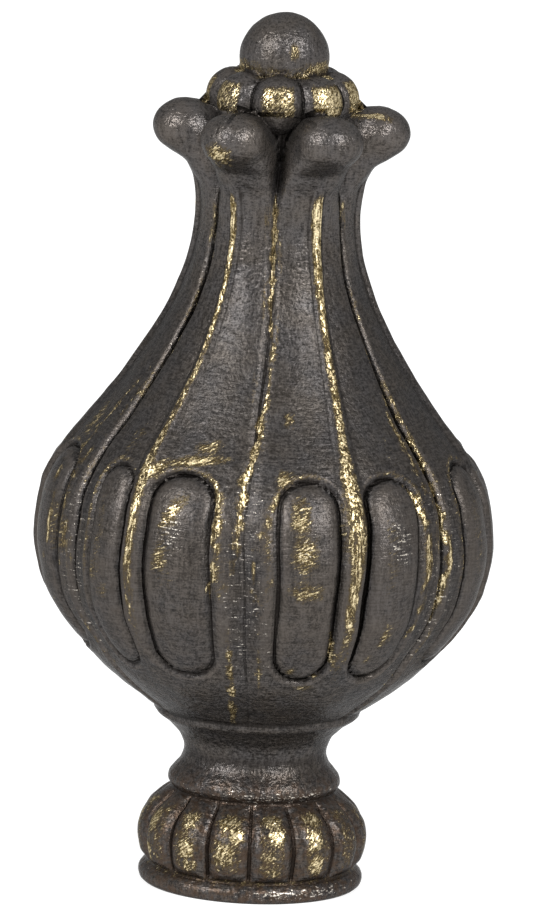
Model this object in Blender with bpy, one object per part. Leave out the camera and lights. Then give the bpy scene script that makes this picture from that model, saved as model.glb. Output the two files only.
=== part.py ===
"""Finial: one cast piece, an onion-shaped bud of six petals on a gadrooned foot.

The form is a field, a function that is negative inside the casting. A turned blank of rings and
columns is laid round it, and each of its points is pushed in along its own line until it meets
the form. Metres, +Z up, the underside's centre at the origin, the front towards -Y.
"""

import math

import bmesh
import bpy
import numpy as np

MM = 0.001
DEG = math.pi / 180

# Heights of the bands, stacked from the underside up
FOOT_HEIGHT = 1.75 * MM
GADROON_HEIGHT = 6.45 * MM
ROLL_HEIGHT = 1.9 * MM
WAIST_HEIGHT = 5.0 * MM
UNDERSIDE_HEIGHT = 15.3 * MM
SHOULDER_HEIGHT = 28.2 * MM
HEAD_RISE = 7.1 * MM
COLLAR_RISE = 2.85 * MM
BALL_RISE = 3.95 * MM

# Radii of the turned profile
FOOT_RADIUS = 9.65 * MM
FOOT_EDGE = 0.35 * MM
NOTCH_RADIUS = 9.2 * MM
GADROON_RADIUS = 9.92 * MM
ROLL_RADIUS = 7.45 * MM
WAIST_RADIUS = 6.13 * MM
LEDGE_RADIUS = 8.7 * MM
BULB_RADIUS = 19.68 * MM
NECK_RADIUS = 7.04 * MM

# Gadroons round the foot
GADROON_COUNT = 15
GADROON_DEPTH = 0.8 * MM

# Petals: the midrib, the seam between two petals and the two oval bosses on each
PETAL_COUNT = 6
PETAL_CROWN = 0.35 * MM
RIB_HEIGHT = 0.35 * MM
RIB_WIDTH_NECK = 0.95 * MM
RIB_WIDTH_BULB = 2.1 * MM
SEAM_DEPTH = 0.45 * MM
SEAM_WIDTH = 1.5 * MM
SEAM_DEPTH_CROWN = 1.7 * MM
OVAL_LENGTH = 17.4 * MM
OVAL_DROP = 0.8 * MM
OVAL_PLACE = 0.41
OVAL_SHARE = 0.265
OVAL_GROOVE = 0.5 * MM
OVAL_GROOVE_WIDTH = 0.9 * MM
OVAL_SWELL = 0.35 * MM
OVAL_RIM = 0.16 * MM

# Petal heads, flattened balls that curl outwards
HEAD_REACH = 10.97 * MM
HEAD_LENGTH = 5.7 * MM
HEAD_WIDTH = 6.3 * MM
HEAD_THICKNESS = 4.5 * MM
HEAD_BLEND = 1.1 * MM
THROAT_RADIUS = 5.4 * MM

# Lobed collar and ball
LOBE_COUNT = 8
COLLAR_RADIUS = 6.56 * MM
COLLAR_MIDDLE = 4.2 * MM
COLLAR_THICKNESS = 5 * MM
LOBE_WIDTH = 4.9 * MM
LOBE_TAPER = 0.2
BALL_RADIUS = 3.77 * MM
BALL_HEIGHT = 7.0 * MM

# Blind hole in the underside for the stud that carries the finial
BORE_RADIUS = 3.175 * MM
BORE_DEPTH = 9.5 * MM
BORE_SIDES = 32

# Angles of the ribs and of the seams that follow them, in degrees from the front, at three
# levels. The casting was carved by hand, so they aren't even.
BULB_RIBS = (-36, 24, 84, 145, 207, 269)
BULB_SEAMS = (-4.5, 54, 115, 176, 238, 301)
NECK_RIBS = (-33, 29.5, 87, 146, 206, 268)
NECK_SEAMS = (-2, 58, 117, 176, 237, 304)
HEAD_RIBS = (-27.5, 29.5, 90, 150, 210, 270)
HEAD_SEAMS = (1.5, 60, 120, 180, 240, 300.5)
LOBE_START = -4.5

# Levels that follow from the bands
GADROON_Z = FOOT_HEIGHT
ROLL_Z = GADROON_Z + GADROON_HEIGHT
WAIST_Z = ROLL_Z + ROLL_HEIGHT
LEDGE_Z = WAIST_Z + WAIST_HEIGHT
BULB_Z = LEDGE_Z + UNDERSIDE_HEIGHT
NECK_Z = BULB_Z + SHOULDER_HEIGHT
HEAD_Z = NECK_Z + HEAD_RISE
COLLAR_Z = HEAD_Z + COLLAR_RISE
BALL_Z = COLLAR_Z + BALL_RISE
FINIAL_HEIGHT = BALL_Z + BALL_HEIGHT / 2
HEAD_RADIUS = HEAD_REACH - HEAD_LENGTH / 2
COLLAR_TOP = COLLAR_Z + COLLAR_THICKNESS / 2

# Where the columns of one half petal stand, from the rib at 0 to the seam at 1
HALF_PETAL = (0.09, 0.145, 0.28, 0.41, 0.54, 0.675, 0.84)
COLUMN_COUNT = PETAL_COUNT * (2 * len(HALF_PETAL) + 1)


def smooth_curve(at, stations):
    """A curve through (place, value) stations that never overshoots them."""
    x, y = np.array(stations, float).T
    step = np.diff(x)
    rise = np.diff(y) / step
    slope = np.concatenate([rise[:1], np.zeros(len(x) - 2), rise[-1:]])
    same = rise[1:] * rise[:-1] > 0
    slope[1:-1][same] = 2 * (rise[1:] * rise[:-1])[same] / (rise[1:] + rise[:-1])[same]
    i = np.clip(np.searchsorted(x, at) - 1, 0, len(x) - 2)
    t = np.clip((at - x[i]) / step[i], 0, 1)
    return (
        y[i] * (1 + 2 * t) * (1 - t) ** 2
        + slope[i] * step[i] * t * (1 - t) ** 2
        + y[i + 1] * t * t * (3 - 2 * t)
        + slope[i + 1] * step[i] * t * t * (t - 1)
    )


def fade(value, start, end):
    """0 before start, 1 after end, smooth between, either way round."""
    t = np.clip((value - start) / (end - start), 0, 1)
    return t * t * (3 - 2 * t)


def bell(distance, width):
    return np.exp(-((distance / width) ** 2))


def between(low, high, share):
    return low + (high - low) * share


def petal_place(theta, z):
    """The place round the finial in petals: whole numbers on the ribs, halves on the seams."""
    degrees = (theta / DEG + 60) % 360 - 60

    def by_marks(ribs, seams):
        marks = np.sort(np.array([*ribs, *seams], float))
        marks = np.concatenate([marks - 360, marks, marks + 360])
        places = (np.arange(len(marks)) - 2 * PETAL_COUNT) / 2
        return np.interp(degrees, marks, places)

    base = (degrees + 180 / PETAL_COUNT) * PETAL_COUNT / 360
    bulb = by_marks(BULB_RIBS, BULB_SEAMS)
    neck = by_marks(NECK_RIBS, NECK_SEAMS)
    head = by_marks(HEAD_RIBS, HEAD_SEAMS)
    place = between(base, bulb, fade(z, WAIST_Z, LEDGE_Z))
    place = between(place, neck, fade(z, between(BULB_Z, NECK_Z, 0.3), between(BULB_Z, NECK_Z, 0.8)))
    return between(place, head, fade(z, between(NECK_Z, HEAD_Z, 0.2), HEAD_Z))


def crest_radius(z):
    """The turned profile over the crests of the gadroons and the ribs of the petals."""
    top = between(WAIST_RADIUS, ROLL_RADIUS, 0.95)

    def band(low_z, high_z, low_r, high_r, shares):
        return [(between(low_z, high_z, s), between(low_r, high_r, t)) for s, t in shares]

    stations = [
        (0, FOOT_RADIUS - FOOT_EDGE),
        (0.35 * FOOT_HEIGHT, FOOT_RADIUS),
        (0.75 * FOOT_HEIGHT, between(NOTCH_RADIUS, FOOT_RADIUS, 0.7)),
        (FOOT_HEIGHT, NOTCH_RADIUS),
        (between(GADROON_Z, ROLL_Z, 0.12), between(NOTCH_RADIUS, GADROON_RADIUS, 0.58)),
        *band(GADROON_Z, ROLL_Z, top, GADROON_RADIUS, ((0.41, 1), (0.58, 0.92), (0.71, 0.75))),
        *band(GADROON_Z, ROLL_Z, top, GADROON_RADIUS, ((0.82, 0.5), (0.93, 0.19), (1, 0))),
        *band(ROLL_Z, WAIST_Z, WAIST_RADIUS, ROLL_RADIUS, ((0.32, 1), (0.6, 0.95), (0.9, 0.66))),
        *band(WAIST_Z, LEDGE_Z, WAIST_RADIUS, LEDGE_RADIUS, ((0.1, 0.12), (0.3, 0), (0.56, 0.16))),
        *band(WAIST_Z, LEDGE_Z, WAIST_RADIUS, LEDGE_RADIUS, ((0.76, 0.5), (0.9, 0.75), (1, 1))),
        *band(LEDGE_Z, BULB_Z, LEDGE_RADIUS, BULB_RADIUS, ((0.08, 0.13), (0.17, 0.3), (0.3, 0.51))),
        *band(LEDGE_Z, BULB_Z, LEDGE_RADIUS, BULB_RADIUS, ((0.43, 0.67), (0.58, 0.825), (0.745, 0.94))),
        (BULB_Z, BULB_RADIUS),
        *band(BULB_Z, NECK_Z, BULB_RADIUS, NECK_RADIUS, ((0.142, 0.038), (0.234, 0.125), (0.305, 0.228))),
        *band(BULB_Z, NECK_Z, BULB_RADIUS, NECK_RADIUS, ((0.408, 0.414), (0.507, 0.572), (0.635, 0.75))),
        *band(BULB_Z, NECK_Z, BULB_RADIUS, NECK_RADIUS, ((0.762, 0.888), (0.89, 0.973), (1, 1))),
        *band(NECK_Z, HEAD_Z, NECK_RADIUS, HEAD_RADIUS, ((0.37, 0.3), (0.58, 0.9), (0.72, 1.5), (1, 1.1))),
    ]
    return smooth_curve(z, stations)


def gadroon_relief(theta, z, crest):
    """How far the surface lies under the crest line between the gadroons, which are pillows."""
    turn = theta / (2 * math.pi) * GADROON_COUNT
    across = np.abs(2 * (turn - np.floor(turn)) - 1)
    along = np.abs(2 * (z - GADROON_Z) / GADROON_HEIGHT - 1)
    pillow = np.sqrt(np.clip(1 - across**3 - np.clip(along, 0, 1) ** 8, 0, 1))
    inside = fade(along, 1.25, 1.0)
    return crest - GADROON_DEPTH * inside * (1 - pillow)


def oval_distance(side, z, half_angle):
    """Metres from the outline of an oval boss, less than 0 inside it. Its width follows the petal."""
    across = (side - OVAL_PLACE) * half_angle * BULB_RADIUS
    half_width = OVAL_SHARE * half_angle * BULB_RADIUS
    middle = BULB_Z - OVAL_DROP
    end = OVAL_LENGTH / 2 - 0.72 * half_width
    along = np.sign(z - middle) * np.clip(np.abs(z - middle) - end, 0, None) / 0.72
    return np.hypot(across, along) - half_width


def petal_relief(theta, z, crest):
    """The midrib, the seams and the oval bosses, cut into the turned bud."""
    place = petal_place(theta, z)
    side = np.abs(2 * (place - np.round(place)))
    half_angle = math.pi / PETAL_COUNT
    from_rib = side * half_angle * crest
    from_seam = (1 - side) * half_angle * crest
    up = (z - BULB_Z) / (NECK_Z - BULB_Z)

    on_petals = fade(z, LEDGE_Z - 0.3 * MM, LEDGE_Z + 2 * MM)
    rib_width = between(RIB_WIDTH_BULB, RIB_WIDTH_NECK, fade(up, 0.1, 0.7))
    rib_on = fade(z, between(LEDGE_Z, BULB_Z, 0.25), between(LEDGE_Z, BULB_Z, 0.5))
    rib_on = rib_on * fade(z, HEAD_Z - 3.5 * MM, NECK_Z + 2 * MM)
    rib = RIB_HEIGHT * rib_on * fade(from_rib, 0.75 * rib_width, 0.4 * rib_width)
    surface = crest - RIB_HEIGHT * rib_on - PETAL_CROWN * side**2 * on_petals + rib

    seam_depth = between(SEAM_DEPTH, SEAM_DEPTH_CROWN, fade(z, between(BULB_Z, NECK_Z, 0.85), HEAD_Z))
    seam = np.clip(1 - from_seam / (SEAM_WIDTH / 2), 0, 1) ** 1.3
    surface = surface - seam_depth * seam * on_petals

    distance = oval_distance(side, z, half_angle)
    surface = surface - OVAL_GROOVE * bell(distance, OVAL_GROOVE_WIDTH / 2)
    surface = surface + OVAL_SWELL * (1 - np.exp(np.clip(distance, None, 0) / (1.1 * MM)))
    surface = surface + OVAL_RIM * bell(distance - 0.75 * MM, 0.45 * MM)

    # Above the neck each petal is a tongue of its own, with a deep gap beside it
    tongue = np.clip(1 - (side / 0.88) ** 2.6, 0, 1) ** 0.5
    gap = between(NECK_RADIUS - 0.9 * MM, THROAT_RADIUS, fade(z, NECK_Z, HEAD_Z))
    apart = fade(z, NECK_Z - 2 * MM, NECK_Z + 3 * MM)
    return between(surface, np.minimum(surface, between(gap, surface, tongue)), apart)


def ellipsoid(x, y, z):
    """A field that is about a distance near the ellipsoid's surface, in units of its half sizes."""
    return np.sqrt(x * x + y * y + z * z) - 1


def soft_union(a, b, width):
    share = np.clip(0.5 + 0.5 * (b - a) / width, 0, 1)
    return between(b, a, share) - width * share * (1 - share)


def body_field(r, theta, z):
    crest = crest_radius(z)
    surface = np.where(z < WAIST_Z, gadroon_relief(theta, z, crest), petal_relief(theta, z, crest))
    return np.maximum(0.75 * (r - surface), z - (HEAD_Z + 0.3 * HEAD_THICKNESS))


def head_field(r, theta, z):
    """The nearest petal's head: a flattened ball that runs back to the throat as a tongue."""
    place = petal_place(theta, z)
    offset = (place - np.round(place)) * 2 * math.pi / PETAL_COUNT
    out = r * np.cos(offset) - HEAD_RADIUS
    across = r * np.sin(offset)
    half_width = HEAD_WIDTH / 2 + 0.2 * np.clip(out, -HEAD_RADIUS, 0)
    droop = 0.12 * np.clip(out, None, 0)
    k = ellipsoid(
        np.clip(out, 0, None) / (HEAD_LENGTH / 2),
        across / half_width,
        (z - HEAD_Z - droop) / (HEAD_THICKNESS / 2),
    )
    return k * HEAD_THICKNESS / 2


def collar_field(r, theta, z):
    """A ring of lobes round a plain core. Each is an ellipsoid, narrower below."""
    turn = (theta / DEG - LOBE_START) * LOBE_COUNT / 360
    offset = (turn - np.round(turn)) * 2 * math.pi / LOBE_COUNT
    depth = COLLAR_RADIUS - COLLAR_MIDDLE
    narrowing = 1 - LOBE_TAPER * np.clip((COLLAR_Z - z) / (COLLAR_THICKNESS / 2), 0, 1)
    lobe = ellipsoid(
        (r * np.cos(offset) - COLLAR_MIDDLE) / depth,
        r * np.sin(offset) / (LOBE_WIDTH / 2 * narrowing),
        (z - COLLAR_Z) / (COLLAR_THICKNESS / 2),
    )
    core = np.maximum(r - COLLAR_MIDDLE, z - between(COLLAR_Z, COLLAR_TOP, 0.85))
    return np.minimum(lobe * depth, core)


def ball_field(r, z):
    return ellipsoid(r / BALL_RADIUS, 0 * z, (z - BALL_Z) / (BALL_HEIGHT / 2)) * BALL_HEIGHT / 2


def finial_field(r, theta, z):
    """Less than 0 inside the casting, 0 on its surface."""
    petals = soft_union(body_field(r, theta, z), head_field(r, theta, z), HEAD_BLEND)
    crown = np.minimum(collar_field(r, theta, z), ball_field(r, z))
    return np.minimum(petals, crown)


def carving_lines():
    """For each ring from the underside up, the (r, z) where its points start and where they aim.

    Beside the body the lines are level. Over the heads, the collar and the ball they fan out.
    """
    oval_z = BULB_Z - OVAL_DROP
    level = [
        *(share * FOOT_HEIGHT for share in (0, 0.2, 0.6, 1)),
        *(between(GADROON_Z, ROLL_Z, s) for s in (0.1, 0.25, 0.45, 0.65, 0.82, 0.94, 1.02)),
        *(between(ROLL_Z, WAIST_Z, s) for s in (0.3, 0.65)),
        *(between(WAIST_Z, LEDGE_Z, s) for s in (0.02, 0.3, 0.6, 0.9)),
        *(between(LEDGE_Z, oval_z - OVAL_LENGTH / 2, s) for s in (0, 0.25, 0.55)),
        *(oval_z + s * OVAL_LENGTH / 2 for s in (-1.12, -1, -0.84, -0.55, 0, 0.5, 0.84, 1, 1.12)),
        *(between(oval_z + OVAL_LENGTH / 2, NECK_Z, s) for s in (0.22, 0.4, 0.6, 0.8, 1)),
        between(NECK_Z, HEAD_Z, 0.28),
    ]
    far = BULB_RADIUS + 1 * MM
    lines = [((far, z), (0.2 * WAIST_RADIUS, z)) for z in level]

    # Round a head's outline, in towards the throat
    fan = zip((-80, -56, -32, -10, 12, 35, 57, 78, 97), (-0.8, -0.6, -0.4, -0.2, 0, 0.1, 0.16, 0.22, 0.27))
    for angle, aim in fan:
        start = (
            HEAD_RADIUS + (HEAD_LENGTH / 2 + 1.2 * MM) * math.cos(angle * DEG),
            HEAD_Z + (HEAD_THICKNESS / 2 + 1.2 * MM) * math.sin(angle * DEG),
        )
        lines.append((start, (THROAT_RADIUS - 0.8 * MM, HEAD_Z + aim * HEAD_THICKNESS)))

    # Over the collar, then round the ball
    depth, half = COLLAR_RADIUS - COLLAR_MIDDLE + 0.9 * MM, COLLAR_THICKNESS / 2 + 0.9 * MM
    for angle, aim in zip((2, 22, 42, 60), (-0.25, -0.1, 0.05, 0.17)):
        start = (COLLAR_MIDDLE + depth * math.cos(angle * DEG), COLLAR_Z + half * math.sin(angle * DEG))
        lines.append((start, (COLLAR_MIDDLE - 0.5 * MM, COLLAR_Z + aim * COLLAR_THICKNESS)))
    reach = BALL_RADIUS + 1.2 * MM
    for angle, aim_r, aim_z in ((-10, 0.6, -0.66), (0, 0.53, -0.62), (10, 0, 0), (34, 0, 0), (57, 0, 0), (77, 0, 0)):
        start = (reach * math.cos(angle * DEG), BALL_Z + reach * math.sin(angle * DEG))
        lines.append((start, (aim_r * BALL_RADIUS, BALL_Z + aim_z * BALL_HEIGHT / 2)))
    return lines


def column_angles(z):
    """The angle of each column at the height z: even round the foot, led by the petals above it."""
    half = np.array(HALF_PETAL) / 2
    one = np.concatenate([[-0.5], -half[::-1], half])
    wanted = np.concatenate([one + k for k in range(PETAL_COUNT)])
    theta = np.linspace(-90, 330, 4201) * DEG
    place = np.unwrap(petal_place(theta, z + 0 * theta), period=PETAL_COUNT)
    place += np.round(-0.5 - np.interp(-60 * DEG, theta, place))
    by_petals = np.interp(wanted, place, theta)
    even = (np.arange(COLUMN_COUNT) * 360 / COLUMN_COUNT - 64) * DEG
    return between(even, by_petals, fade(z, WAIST_Z, LEDGE_Z))


def carved_points():
    """The points where the carving lines meet the form, as rings by columns by (x, y, z)."""
    lines = carving_lines()
    start_r, start_z, aim_r, aim_z = np.array([(*a, *b) for a, b in lines]).T[:, :, None]
    theta = np.array([column_angles(start[1]) for start, _ in lines])
    shape = theta.shape

    def at(share):
        return between(start_r, aim_r, share), between(start_z, aim_z, share)

    def inside_at(share):
        r, z = at(share)
        return finial_field(r, theta, z) < 0

    outer, inner = np.zeros(shape), np.ones(shape)
    met = np.zeros(shape, bool)
    for share in np.linspace(0, 1, 161)[1:]:
        now = inside_at(np.full(shape, share)) & ~met
        inner[now] = share
        met |= now
        outer[~met] = share
    for _ in range(16):
        middle = (outer + inner) / 2
        within = inside_at(middle)
        inner = np.where(within, middle, inner)
        outer = np.where(within, outer, middle)
    r, z = at(inner)
    return np.stack([r * np.sin(theta), -r * np.cos(theta), z], axis=2)


def new_collection(name):
    collection = bpy.data.collections.new(name)
    bpy.context.scene.collection.children.link(collection)
    return collection


def carve_casting(collection, material):
    """Spins a profile into a blank and moves each of its points onto the form."""
    points = carved_points()
    ring_count, column_count = points.shape[:2]
    bm = bmesh.new()
    ring_of = bm.verts.layers.int.new("ring")
    profile = []
    for ring in range(ring_count):
        vert = bm.verts.new((0, -FOOT_RADIUS, ring * MM))
        vert[ring_of] = ring
        profile.append(vert)
    edges = [bm.edges.new(pair) for pair in zip(profile, profile[1:])]
    bmesh.ops.spin(
        bm, geom=profile + edges, cent=(0, 0, 0), axis=(0, 0, 1),
        angle=2 * math.pi, steps=column_count, use_merge=True,
    )
    for vert in bm.verts:
        turn = math.atan2(vert.co.x, -vert.co.y) / (2 * math.pi)
        vert.co = points[vert[ring_of], round(turn * column_count) % column_count]
    last = [v for v in bm.verts if v[ring_of] == ring_count - 1]
    closing = bmesh.ops.contextual_create(bm, geom=edges_within(last))["faces"]
    tip = bmesh.ops.poke(bm, faces=closing)["verts"][0]
    tip.co = (0, 0, FINIAL_HEIGHT)
    first = [v for v in bm.verts if v[ring_of] == 0 and v is not tip]
    bmesh.ops.contextual_create(bm, geom=edges_within(first))
    bmesh.ops.recalc_face_normals(bm, faces=bm.faces)
    mesh = bpy.data.meshes.new("finial")
    bm.to_mesh(mesh)
    bm.free()
    mesh.shade_smooth()
    mesh.set_sharp_from_angle(angle=40 * DEG)
    mesh.materials.append(material)
    casting = bpy.data.objects.new("finial", mesh)
    collection.objects.link(casting)
    return casting


def edges_within(verts):
    """The edges whose two ends are both among the verts."""
    chosen = set(verts)
    return list({e for v in verts for e in v.link_edges if e.other_vert(v) in chosen})


def cut_bore(casting, collection):
    """The blind hole for the stud, open on the underside."""
    over = 1 * MM
    bpy.ops.mesh.primitive_cylinder_add(
        vertices=BORE_SIDES, radius=BORE_RADIUS, depth=BORE_DEPTH + over,
        location=(0, 0, (BORE_DEPTH - over) / 2),
    )
    cutter = bpy.context.object
    cutter.name = "bore_cutter"
    cutter.hide_render = True
    cutter.display_type = "WIRE"
    for old in list(cutter.users_collection):
        old.objects.unlink(cutter)
    collection.objects.link(cutter)
    cut = casting.modifiers.new("bore", "BOOLEAN")
    cut.operation = "DIFFERENCE"
    cut.object = cutter


def dark_bronze():
    material = bpy.data.materials.new("dark_bronze")
    material.use_nodes = True
    shader = material.node_tree.nodes["Principled BSDF"]
    shader.inputs["Base Color"].default_value = (0.06, 0.053, 0.048, 1)
    shader.inputs["Roughness"].default_value = 0.45
    shader.inputs["Metallic"].default_value = 0.3
    return material


def build():
    for obj in list(bpy.data.objects):
        bpy.data.objects.remove(obj)
    casting = carve_casting(new_collection("finial"), dark_bronze())
    cut_bore(casting, new_collection("cutters"))


build()
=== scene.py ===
"""The finial as photographed: one casting, painted bronze-black and dry-brushed with gold.

It is carved as the solid in the source is. A turned blank of rings and columns is laid round the
form, and each of its points is pushed in along its own line until it meets it. This blank is fine
enough for the chisel work, and its points also keep how gilded, how hollow and how near a carved
line they are, for the paint to read.
"""

import math

import bmesh
import bpy
import numpy as np
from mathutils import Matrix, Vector, noise


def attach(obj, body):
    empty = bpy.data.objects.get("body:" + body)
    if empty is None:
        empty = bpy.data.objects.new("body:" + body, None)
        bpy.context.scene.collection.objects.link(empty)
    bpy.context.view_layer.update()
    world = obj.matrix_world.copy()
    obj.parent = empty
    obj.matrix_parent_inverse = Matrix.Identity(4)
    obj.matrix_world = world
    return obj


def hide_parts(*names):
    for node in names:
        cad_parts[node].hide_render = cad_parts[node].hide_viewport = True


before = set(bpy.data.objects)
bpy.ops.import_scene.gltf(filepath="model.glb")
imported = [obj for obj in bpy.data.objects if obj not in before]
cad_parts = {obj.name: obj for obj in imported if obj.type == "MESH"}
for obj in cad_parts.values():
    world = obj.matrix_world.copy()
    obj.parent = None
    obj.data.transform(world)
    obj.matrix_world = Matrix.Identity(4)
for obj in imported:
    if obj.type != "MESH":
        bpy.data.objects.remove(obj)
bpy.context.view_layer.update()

MM = 0.001
DEG = math.pi / 180

# Levels and sizes of the casting. Most are the source's own, and a few are fitted more closely here.
FOOT_HEIGHT, GADROON_HEIGHT, ROLL_HEIGHT, WAIST_HEIGHT = 1.75 * MM, 6.45 * MM, 1.9 * MM, 5.0 * MM
UNDERSIDE_HEIGHT, SHOULDER_HEIGHT = 15.3 * MM, 28.2 * MM
HEAD_RISE, COLLAR_RISE, BALL_RISE = 7.1 * MM, 2.65 * MM, 3.48 * MM
FOOT_RADIUS, FOOT_EDGE, NOTCH_RADIUS = 9.65 * MM, 0.35 * MM, 9.2 * MM
GADROON_RADIUS, ROLL_RADIUS, WAIST_RADIUS = 9.92 * MM, 7.45 * MM, 6.13 * MM
LEDGE_RADIUS, BULB_RADIUS, NECK_RADIUS = 8.7 * MM, 19.68 * MM, 7.04 * MM
GADROON_COUNT, GADROON_DEPTH = 15, 0.95 * MM
PETAL_COUNT, PETAL_CROWN = 6, 0.35 * MM
RIB_HEIGHT, RIB_WIDTH_NECK, RIB_WIDTH_BULB = 0.35 * MM, 0.95 * MM, 2.1 * MM
OVAL_LENGTH, OVAL_DROP, OVAL_PLACE, OVAL_SHARE = 17.4 * MM, 0.8 * MM, 0.41, 0.265
HEAD_REACH, HEAD_LENGTH, HEAD_WIDTH, HEAD_THICKNESS = 10.97 * MM, 5.7 * MM, 5.9 * MM, 4.6 * MM
HEAD_BLEND, THROAT_RADIUS = 1.0 * MM, 4.7 * MM
LOBE_COUNT, LOBE_WIDTH, LOBE_TAPER = 8, 4.9 * MM, 0.2
COLLAR_RADIUS, COLLAR_MIDDLE, COLLAR_THICKNESS = 6.56 * MM, 4.2 * MM, 5 * MM
BALL_RADIUS, BALL_HEIGHT = 3.83 * MM, 7.8 * MM
BORE_RADIUS, BORE_DEPTH = 3.175 * MM, 9.5 * MM

# Heights, depths and breadths of the fine carving
LIP_HEIGHT, LIP_WIDTH, SEAM_DISH = 0.14 * MM, 0.28 * MM, 0.18 * MM
CROWN_CRACK, CROWN_CRACK_WIDTH = 1.7 * MM, 0.8 * MM
OVAL_SWELL, OVAL_SWELL_WIDTH = 0.5 * MM, 1.3 * MM
OVAL_DISH, OVAL_DISH_WIDTH, OVAL_GROOVE, OVAL_GROOVE_WIDTH = 0.42 * MM, 0.42 * MM, 0.2 * MM, 0.16 * MM
OVAL_RIM, OVAL_RIM_WIDTH, OVAL_RIM_PLACE = 0.17 * MM, 0.34 * MM, 0.7 * MM
LEDGE_LIP, LEDGE_LIP_WIDTH, LEDGE_GROOVE, LEDGE_GROOVE_WIDTH = 0.24 * MM, 0.4 * MM, 0.26 * MM, 0.3 * MM
# How long an oval's round end is, as a share of half its width
OVAL_END = 0.72

GADROON_Z = FOOT_HEIGHT
ROLL_Z = GADROON_Z + GADROON_HEIGHT
WAIST_Z = ROLL_Z + ROLL_HEIGHT
LEDGE_Z = WAIST_Z + WAIST_HEIGHT
BULB_Z = LEDGE_Z + UNDERSIDE_HEIGHT
NECK_Z = BULB_Z + SHOULDER_HEIGHT
HEAD_Z = NECK_Z + HEAD_RISE
COLLAR_Z = HEAD_Z + COLLAR_RISE
BALL_Z = COLLAR_Z + BALL_RISE
FINIAL_HEIGHT = BALL_Z + BALL_HEIGHT / 2
HEAD_RADIUS = HEAD_REACH - HEAD_LENGTH / 2
COLLAR_TOP = COLLAR_Z + COLLAR_THICKNESS / 2
OVAL_Z = BULB_Z - OVAL_DROP

# Angles of the ribs and seams, in degrees from the front, at three levels
BULB_RIBS = (-36, 24, 84, 145, 207, 269)
BULB_SEAMS = (-4.5, 54, 115, 176, 238, 301)
NECK_RIBS = (-33, 29.5, 87, 146, 206, 268)
NECK_SEAMS = (-2, 58, 117, 176, 237, 304)
HEAD_RIBS = (-27.5, 29.5, 90, 150, 210, 270)
HEAD_SEAMS = (1.5, 60, 120, 180, 240, 300.5)
LOBE_START = -4.5

# How each seam was cut, from the front one on: the depth of its crack, and how far to each side
# its raised lip stands
SEAM_CRACKS = np.array((0.1, 0.45, 0.3, 0.4, 0.3, 0.55)) * MM
SEAM_LIPS = np.array((1.25, 0.75, 0.9, 0.8, 1.0, 0.7)) * MM
# How much wider each petal's left and right ovals are than the rule
OVAL_LEFT = np.array((1.0, 1.08, 1.0, 1.05, 1.1, 0.96))
OVAL_RIGHT = np.array((1.13, 1.02, 1.06, 1.0, 1.04, 1.1))
# How deep the groove is cut beside each oval's rib, over its top, beside its seam and at its foot,
# for the left and the right oval of each petal
OVAL_CUTS = np.array((
    ((0.6, 0.4, 0.4, 0.3), (1.0, 0.9, 0.3, 0.4)),
    ((0.85, 0.55, 0.4, 0.9), (1.0, 0.65, 0.35, 0.8)),
    ((0.9, 0.7, 0.6, 0.5), (0.9, 0.9, 0.4, 0.6)),
    ((0.8, 0.6, 0.6, 0.8), (1.0, 0.7, 0.5, 0.5)),
    ((1.0, 0.9, 0.4, 0.6), (0.8, 0.6, 0.5, 0.9)),
    ((0.9, 0.8, 0.5, 0.5), (1.0, 0.7, 0.4, 0.7)),
))
# How much gold each petal's rib took, and how broad it lies
RIB_GOLD = np.array((0.95, 1.0, 0.35, 0.7, 0.85, 0.45))
RIB_BREADTH = np.array((0.85, 1.2, 0.8, 1.0, 1.1, 0.8))

# Columns of points from one seam to the next and all round, and the steps that push each point in
SEAM_TO_SEAM = 45
COLUMNS = PETAL_COUNT * SEAM_TO_SEAM
PUSHES = 70

# Paint colours, as linear red, green and blue
DARK_WARM, DARK_COOL = (0.026, 0.0225, 0.0195), (0.022, 0.0205, 0.020)
LIGHT_WARM, LIGHT_COOL = (0.088, 0.077, 0.068), (0.083, 0.077, 0.075)
RUBBED_EDGE, FOOT_BROWN = (0.135, 0.115, 0.1), (0.062, 0.039, 0.025)
# The dark wash is partly painted shade in the hollows, and the deep cut colour is painted shade in the
# carved cracks and grooves
DARK_WASH_AND_SHADE, DEEP_CUT_SHADE = (0.009, 0.007, 0.006), (0.002, 0.0015, 0.001)
GOLD_DULL, GOLD_BRIGHT, GOLD_SMEAR = (0.095, 0.066, 0.023), (0.9, 0.76, 0.48), (0.075, 0.052, 0.018)
PALE_FLECK = (0.62, 0.57, 0.5)


def smooth_curve(at, stations):
    """A curve through (place, value) stations that never overshoots them."""
    x, y = np.array(stations, float).T
    step = np.diff(x)
    rise = np.diff(y) / step
    slope = np.concatenate([rise[:1], np.zeros(len(x) - 2), rise[-1:]])
    same = rise[1:] * rise[:-1] > 0
    slope[1:-1][same] = 2 * (rise[1:] * rise[:-1])[same] / (rise[1:] + rise[:-1])[same]
    i = np.clip(np.searchsorted(x, at) - 1, 0, len(x) - 2)
    t = np.clip((at - x[i]) / step[i], 0, 1)
    return (
        y[i] * (1 + 2 * t) * (1 - t) ** 2
        + slope[i] * step[i] * t * (1 - t) ** 2
        + y[i + 1] * t * t * (3 - 2 * t)
        + slope[i + 1] * step[i] * t * t * (t - 1)
    )


def fade(value, start, end):
    """0 before start, 1 after end, smooth between, either way round."""
    t = np.clip((value - start) / (end - start), 0, 1)
    return t * t * (3 - 2 * t)


def bell(distance, width):
    """1 at no distance, and about a third of that at the width."""
    return np.exp(-((distance / width) ** 2))


def between(low, high, share):
    return low + (high - low) * share


def by_marks(degrees, ribs, seams):
    """Petal places at the angles, from the marked angles of the ribs and the seams."""
    marks = np.sort(np.array([*ribs, *seams], float))
    marks = np.concatenate([marks - 360, marks, marks + 360])
    return np.interp(degrees, marks, (np.arange(len(marks)) - 2 * PETAL_COUNT) / 2)


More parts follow.
